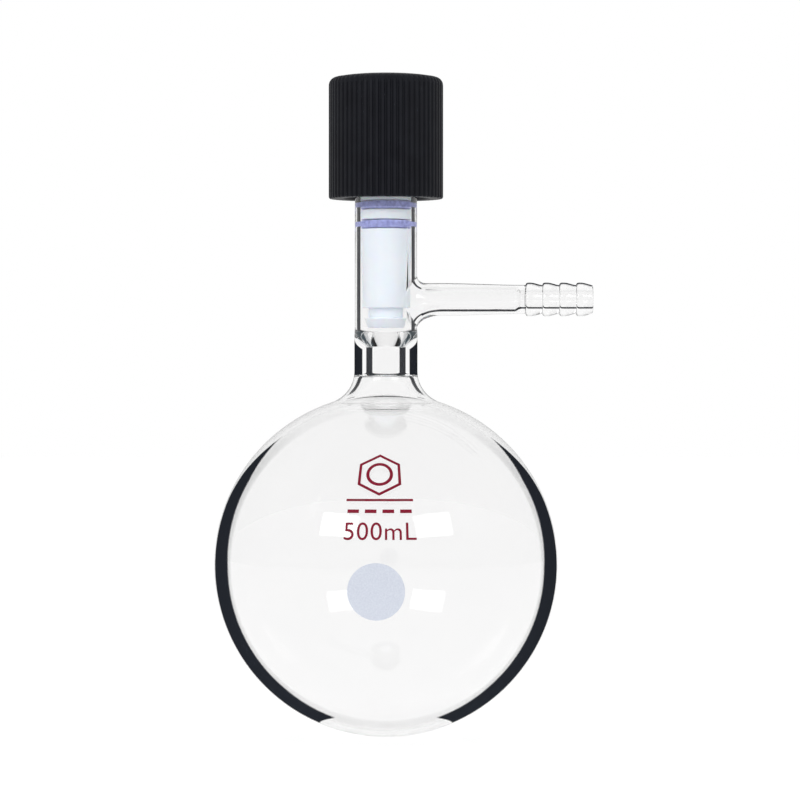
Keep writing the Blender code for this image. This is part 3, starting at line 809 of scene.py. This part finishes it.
def make_seals():
    """Seal rings pressed flat against the bore and the groove's floor, each a little uneven at its edge."""
    look = seal_rubber()
    for name in ("lower_o_ring", "upper_o_ring"):
        low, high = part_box(name)
        outer = VALVE_BORE_RADIUS + SEAL_PRESSED
        inner = GROOVE_RADIUS + 0.03 * MM
        middle = ((outer + inner) / 2, (low.z + high.z) / 2)
        half_width = SEAL_SPREAD * (outer - inner) / 2
        rings = []
        for i in range(SEAL_SIDES):
            turn = 2 * math.pi * i / SEAL_SIDES
            half_height = SEAL_HALF_HEIGHT * (1 + 0.03 * math.sin(3 * turn) + 0.02 * math.sin(7 * turn + 1))
            section = []
            for k in range(24):
                a = 2 * math.pi * k / 24
                across = math.copysign(abs(math.cos(a)) ** 0.55, math.cos(a)) * half_width
                along = math.copysign(abs(math.sin(a)) ** 0.75, math.sin(a)) * half_height
                radius = min(outer, max(inner, middle[0] + across))
                section.append((radius * math.cos(turn), radius * math.sin(turn), middle[1] + along))
            rings.append(section)
        seal = make_object(f"{name}_squashed", skin(rings, loop=True), 60.0)
        seal.data.materials.append(look)
        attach(seal, "plug")
        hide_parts(name)


# ---------------------------------------------------------------- cap


def cap_outside():
    """The cap's moulded outside: grip ribs that run out in the rounded edge, and a slightly domed top."""
    low = node_low("screw_cap").z
    high = node_high("screw_cap").z
    radius = node_high("screw_cap").x
    levels = [(radius - 0.35 * MM, low, 0.6), (radius - 0.08 * MM, low + 0.25 * MM, 1.0)]
    levels += [(radius, low + 0.6 * MM, 1.0), (radius, (low + high) / 2, 1.0)]
    for i in range(9):
        a = math.radians(90 * i / 8)
        inset = CAP_EDGE_INSET * (1 - math.cos(a))
        drop = (CAP_EDGE_RADIUS - CAP_DOME) * (1 - math.sin(a)) + CAP_DOME
        levels.append((radius - inset, high - drop, max(0.0, 1.0 - 1.25 * i / 8)))
    face_radius = radius - CAP_EDGE_INSET
    for share in (0.93, 0.85, 0.74, 0.6, 0.45, 0.3, 0.15):
        levels.append((face_radius * share, high - CAP_DOME * share**3.6, 0.0))
    columns = RIB_COUNT * RIB_STEPS
    rings = [[(0.0, 0.0, low)]]
    for level_radius, z, depth in levels:
        one = []
        for k in range(columns):
            wave = math.cos(2 * math.pi * (k / RIB_STEPS))
            groove = RIB_DEPTH * depth * smooth_step(-0.1, 0.75, wave)
            turn = 2 * math.pi * k / columns
            r = level_radius - groove
            one.append((r * math.cos(turn), r * math.sin(turn), z))
        rings.append(one)
    rings.append([(0.0, 0.0, high)])
    return make_object("screw_cap_moulded", skin(rings), 50.0)


def make_cap():
    cap = cap_outside()
    low = node_low("screw_cap").z
    ring_low, ring_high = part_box("retaining_ring")
    washer_high = node_high("thrust_washer")
    pocket = washer_high.x + 0.3 * MM
    groove = 0.3 * MM - ring_low.x
    step = ring_low.z - 1.4 * MM
    ceiling = washer_high.z + 0.3 * MM
    hollow = [
        (0.0, low - 1.0 * MM),
        (CAP_BORE_RADIUS + 1.6 * MM, low - 1.0 * MM),
        (CAP_BORE_RADIUS, low + 0.6 * MM),
        (CAP_BORE_RADIUS, step),
        (pocket, step),
        (pocket, ring_low.z - 0.3 * MM),
        (groove, ring_low.z - 0.3 * MM),
        (groove, ring_high.z + 0.3 * MM),
        (pocket, ring_high.z + 0.3 * MM),
        (pocket, ceiling),
        (0.0, ceiling),
    ]
    carve(cap, turned("hollow", hollow, 128), "DIFFERENCE")
    thread_low = HEAD_Z + HEAD_THREAD_START - THREAD_PITCH / 2
    ridge = helix_ridge(CAP_BORE_RADIUS, CAP_BORE_RADIUS - THREAD_DEPTH, thread_low, CAP_THREAD_TURNS)
    carve(cap, ridge, "UNION")
    cap.data.materials.clear()
    cap.data.materials.append(cap_plastic())
    cap.data.shade_smooth()
    cap.data.set_sharp_from_angle(angle=math.radians(50))
    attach(cap, "cap")
    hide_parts("screw_cap")
    for node, maker in (("thrust_washer", bearing_plastic), ("retaining_ring", spring_steel)):
        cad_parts[node].data.materials.clear()
        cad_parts[node].data.materials.append(maker())


# ---------------------------------------------------------------- print on the bulb


def on_bulb(across, up, height, lift):
    """A point of a print wrapped on the bulb's front, across and up from a middle at that height."""
    latitude = math.asin(height / BULB_RADIUS) + up / BULB_RADIUS
    longitude = across / (BULB_RADIUS * math.cos(math.asin(height / BULB_RADIUS)))
    r = BULB_RADIUS + lift
    x = r * math.cos(latitude) * math.sin(longitude)
    y = -r * math.cos(latitude) * math.cos(longitude)
    return (x, y, BULB_Z + r * math.sin(latitude))


def print_on_bulb(name, flat, middle, look, cuts):
    """Wraps flat mesh data (x across, y up) on the bulb as a thin raised layer."""
    bm = bmesh.new()
    bm.from_mesh(flat)
    bmesh.ops.remove_doubles(bm, verts=bm.verts[:], dist=1e-6)
    bmesh.ops.triangulate(bm, faces=bm.faces[:])
    if cuts:
        bmesh.ops.subdivide_edges(bm, edges=bm.edges[:], cuts=cuts, use_grid_fill=True)
    raised = bmesh.ops.extrude_face_region(bm, geom=bm.faces[:])["geom"]
    top = {item for item in raised if isinstance(item, bmesh.types.BMVert)}
    across, height = middle
    for vert in bm.verts:
        lift = PRINT_GAP + (PRINT_THICKNESS if vert in top else 0.0)
        vert.co = on_bulb(across + vert.co.x, vert.co.y, height, lift)
    bm.to_mesh(flat)
    bm.free()
    piece = make_object(name, flat, 60.0)
    piece.data.materials.append(look)
    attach(piece, "flask")


def flat_mesh(points, faces):
    mesh = bpy.data.meshes.new("flat")
    mesh.from_pydata([(x, y, 0.0) for x, y in points], [], faces)
    return mesh


def band_between(outer, inner):
    """Flat mesh between two closed outlines with as many points each."""
    count = len(outer)
    faces = [(k, (k + 1) % count, count + (k + 1) % count, count + k) for k in range(count)]
    return outer + inner, faces


def polygon_outline(radius, corners, per_side, start=90.0):
    """Points along a regular polygon's sides."""
    tips = []
    for k in range(corners):
        a = math.radians(start + 360 * k / corners)
        tips.append((radius * math.cos(a), radius * math.sin(a)))
    points = []
    for k in range(corners):
        here, following = Vector(tips[k]), Vector(tips[(k + 1) % corners])
        points += [tuple(here.lerp(following, j / per_side)) for j in range(per_side)]
    return points


def join_flat(parts):
    points = []
    faces = []
    for part_points, part_faces in parts:
        faces += [tuple(len(points) + k for k in face) for face in part_faces]
        points += part_points
    return flat_mesh(points, faces)


def emblem():
    """A plain emblem: the sign for an aromatic ring, a hexagon round a circle."""
    half = EMBLEM_LINE / 2
    parts = [
        band_between(
            polygon_outline(EMBLEM_RADIUS + half, 6, 8), polygon_outline(EMBLEM_RADIUS - half, 6, 8)
        )
    ]
    inner = EMBLEM_RADIUS * 0.52
    outer_ring = polygon_outline(inner + half, 48, 1)
    parts.append(band_between(outer_ring, polygon_outline(inner - half, 48, 1)))
    return join_flat(parts)


def rules():
    """Two rows of plain dashes, in the place of two lines of words."""
    parts = []
    for height, dash, count, thick in RULE_ROWS:
        pitch = RULE_WIDTH / count
        for k in range(count):
            left = -RULE_WIDTH / 2 + k * pitch + (pitch - dash) / 2
            right = left + dash
            low, high = height - thick / 2, height + thick / 2
            corners = [(left, low), (right, low), (right, high), (left, high)]
            parts.append((corners, [(0, 1, 2, 3)]))
    return join_flat(parts)


def capacity():
    """The printed capacity: a number and its unit."""
    curve = bpy.data.curves.new("capacity", "FONT")
    curve.body = "500mL"
    curve.size = CAPACITY_SIZE
    curve.space_character = 1.06
    curve.align_x = "CENTER"
    curve.align_y = "CENTER"
    curve.resolution_u = 6
    words = bpy.data.objects.new("capacity", curve)
    bpy.context.scene.collection.objects.link(words)
    depsgraph = bpy.context.evaluated_depsgraph_get()
    mesh = bpy.data.meshes.new_from_object(words.evaluated_get(depsgraph))
    bpy.data.objects.remove(words, do_unlink=True)
    mesh.materials.clear()
    return mesh


def patch():
    """A round patch, as rings about its middle."""
    points = [(0.0, 0.0)]
    faces = []
    for j in range(1, PATCH_RINGS + 1):
        for k in range(PATCH_SIDES):
            a = 2 * math.pi * k / PATCH_SIDES
            r = PATCH_RADIUS * j / PATCH_RINGS
            points.append((r * math.cos(a), r * math.sin(a)))
    for k in range(PATCH_SIDES):
        following = (k + 1) % PATCH_SIDES
        faces.append((0, 1 + k, 1 + following))
        for j in range(PATCH_RINGS - 1):
            low = 1 + j * PATCH_SIDES
            high = low + PATCH_SIDES
            faces.append((low + k, high + k, high + following, low + following))
    return flat_mesh(points, faces)


def make_prints():
    ink = enamel()
    for name, flat, height, cuts in (
        ("print_emblem", emblem(), EMBLEM_HEIGHT, 1),
        ("print_rules", rules(), RULES_HEIGHT, 2),
        ("print_capacity", capacity(), CAPACITY_HEIGHT, 2),
    ):
        print_on_bulb(name, flat, (PRINT_X, height), ink, cuts)
    print_on_bulb("marking_patch", patch(), (PATCH_X, PATCH_HEIGHT), frosted_patch(), 0)


# ---------------------------------------------------------------- stage


SURROUND_SEEN = 1.0  # brightness of the white surroundings, as seen directly or through glass
SURROUND_AS_LIGHT = 0.40  # the same, as it lights surfaces
SURROUND_MIRRORED = 0.75  # the same, as surfaces mirror it
SUN_ENERGY = 1.0
FLOOR_GLOW = 0.625  # brings the floor up to the white of the surroundings
SOFT_BOX_POWER = {"left": 1.4, "right": 0.95}


def mix_values(nodes, links, factor, first, second):
    """Output of a node that goes from the first value to the second as the factor rises from 0 to 1."""
    node = nodes.new("ShaderNodeMix")
    links.new(factor, node.inputs["Factor"])
    for socket, value in (("A", first), ("B", second)):
        if isinstance(value, float):
            node.inputs[socket].default_value = value
        else:
            links.new(value, node.inputs[socket])
    return node.outputs["Result"]


def make_stage():
    """Pale floor, white surroundings and soft boxes."""
    scene = bpy.context.scene
    scene.view_settings.view_transform = "Standard"
    world = bpy.data.worlds.new("studio")
    world.use_nodes = True
    nodes = world.node_tree.nodes
    links = world.node_tree.links
    path = nodes.new("ShaderNodeLightPath")
    seen = mix_values(nodes, links, path.outputs["Transmission Depth"], SURROUND_MIRRORED, SURROUND_SEEN)
    seen = mix_values(nodes, links, path.outputs["Is Camera Ray"], seen, SURROUND_SEEN)
    strength = mix_values(nodes, links, path.outputs["Is Diffuse Ray"], seen, SURROUND_AS_LIGHT)
    links.new(strength, nodes["Background"].inputs["Strength"])
    nodes["Background"].inputs["Color"].default_value = (1.0, 1.0, 1.0, 1.0)
    scene.world = world
    floor = make_object("floor", skin([ring(0.0, BULB_BOTTOM_Z, 96), ring(6.0, BULB_BOTTOM_Z, 96)]))
    look = Look("pale_floor")
    look.join(look.ramp(look.noise(3.0), [(0.3, 0.50), (0.7, 0.51)]), look.shader.inputs["Base Color"])
    look.set(Roughness=0.9, Specular_IOR_Level=0.1)
    look.set(Emission_Color=(1.0, 1.0, 1.0, 1.0), Emission_Strength=FLOOR_GLOW)
    floor.data.materials.append(look.material)
    sun = bpy.data.lights.new("overhead", "SUN")
    sun.energy = SUN_ENERGY
    sun.angle = math.radians(80)
    lamp = bpy.data.objects.new("overhead", sun)
    lamp.visible_glossy = False
    lamp.visible_transmission = False
    scene.collection.objects.link(lamp)
    for side, azimuth in (("left", -33.5), ("right", 34.5)):
        soft_box(f"soft_box_{side}", azimuth, 27.0, (0.42, 0.25), SOFT_BOX_POWER[side])


def soft_box(name, azimuth, elevation, size, power):
    """A rectangular soft box a metre from the bulb, in front and above."""
    light = bpy.data.lights.new(name, "AREA")
    light.shape = "RECTANGLE"
    light.size, light.size_y = size
    light.energy = power
    lamp = bpy.data.objects.new(name, light)
    a = math.radians(azimuth)
    e = math.radians(elevation)
    towards = Vector((math.sin(a) * math.cos(e), -math.cos(a) * math.cos(e), math.sin(e)))
    lamp.location = Vector((0.0, 0.0, BULB_Z)) + towards
    lamp.rotation_mode = "QUATERNION"
    lamp.rotation_quaternion = towards.to_track_quat("Z", "Y")
    bpy.context.scene.collection.objects.link(lamp)


def make_camera():
    """Level camera at the middle of the object's height, straight in front."""
    low, high = cad_box
    data = bpy.data.cameras.new("camera")
    data.lens = 176.5
    data.sensor_width = 36.0
    data.clip_start = 0.05
    data.clip_end = 50.0
    camera = bpy.data.objects.new("camera", data)
    camera.location = (4.3 * MM, -1.2, (low.z + high.z) / 2 + 1.7 * MM)
    camera.rotation_euler = (math.radians(90), 0.0, 0.0)
    bpy.context.scene.collection.objects.link(camera)
    bpy.context.scene.camera = camera


# ---------------------------------------------------------------- all of it

make_camera()
make_stage()
make_glass()
make_plug()
make_seals()
make_cap()
make_prints()
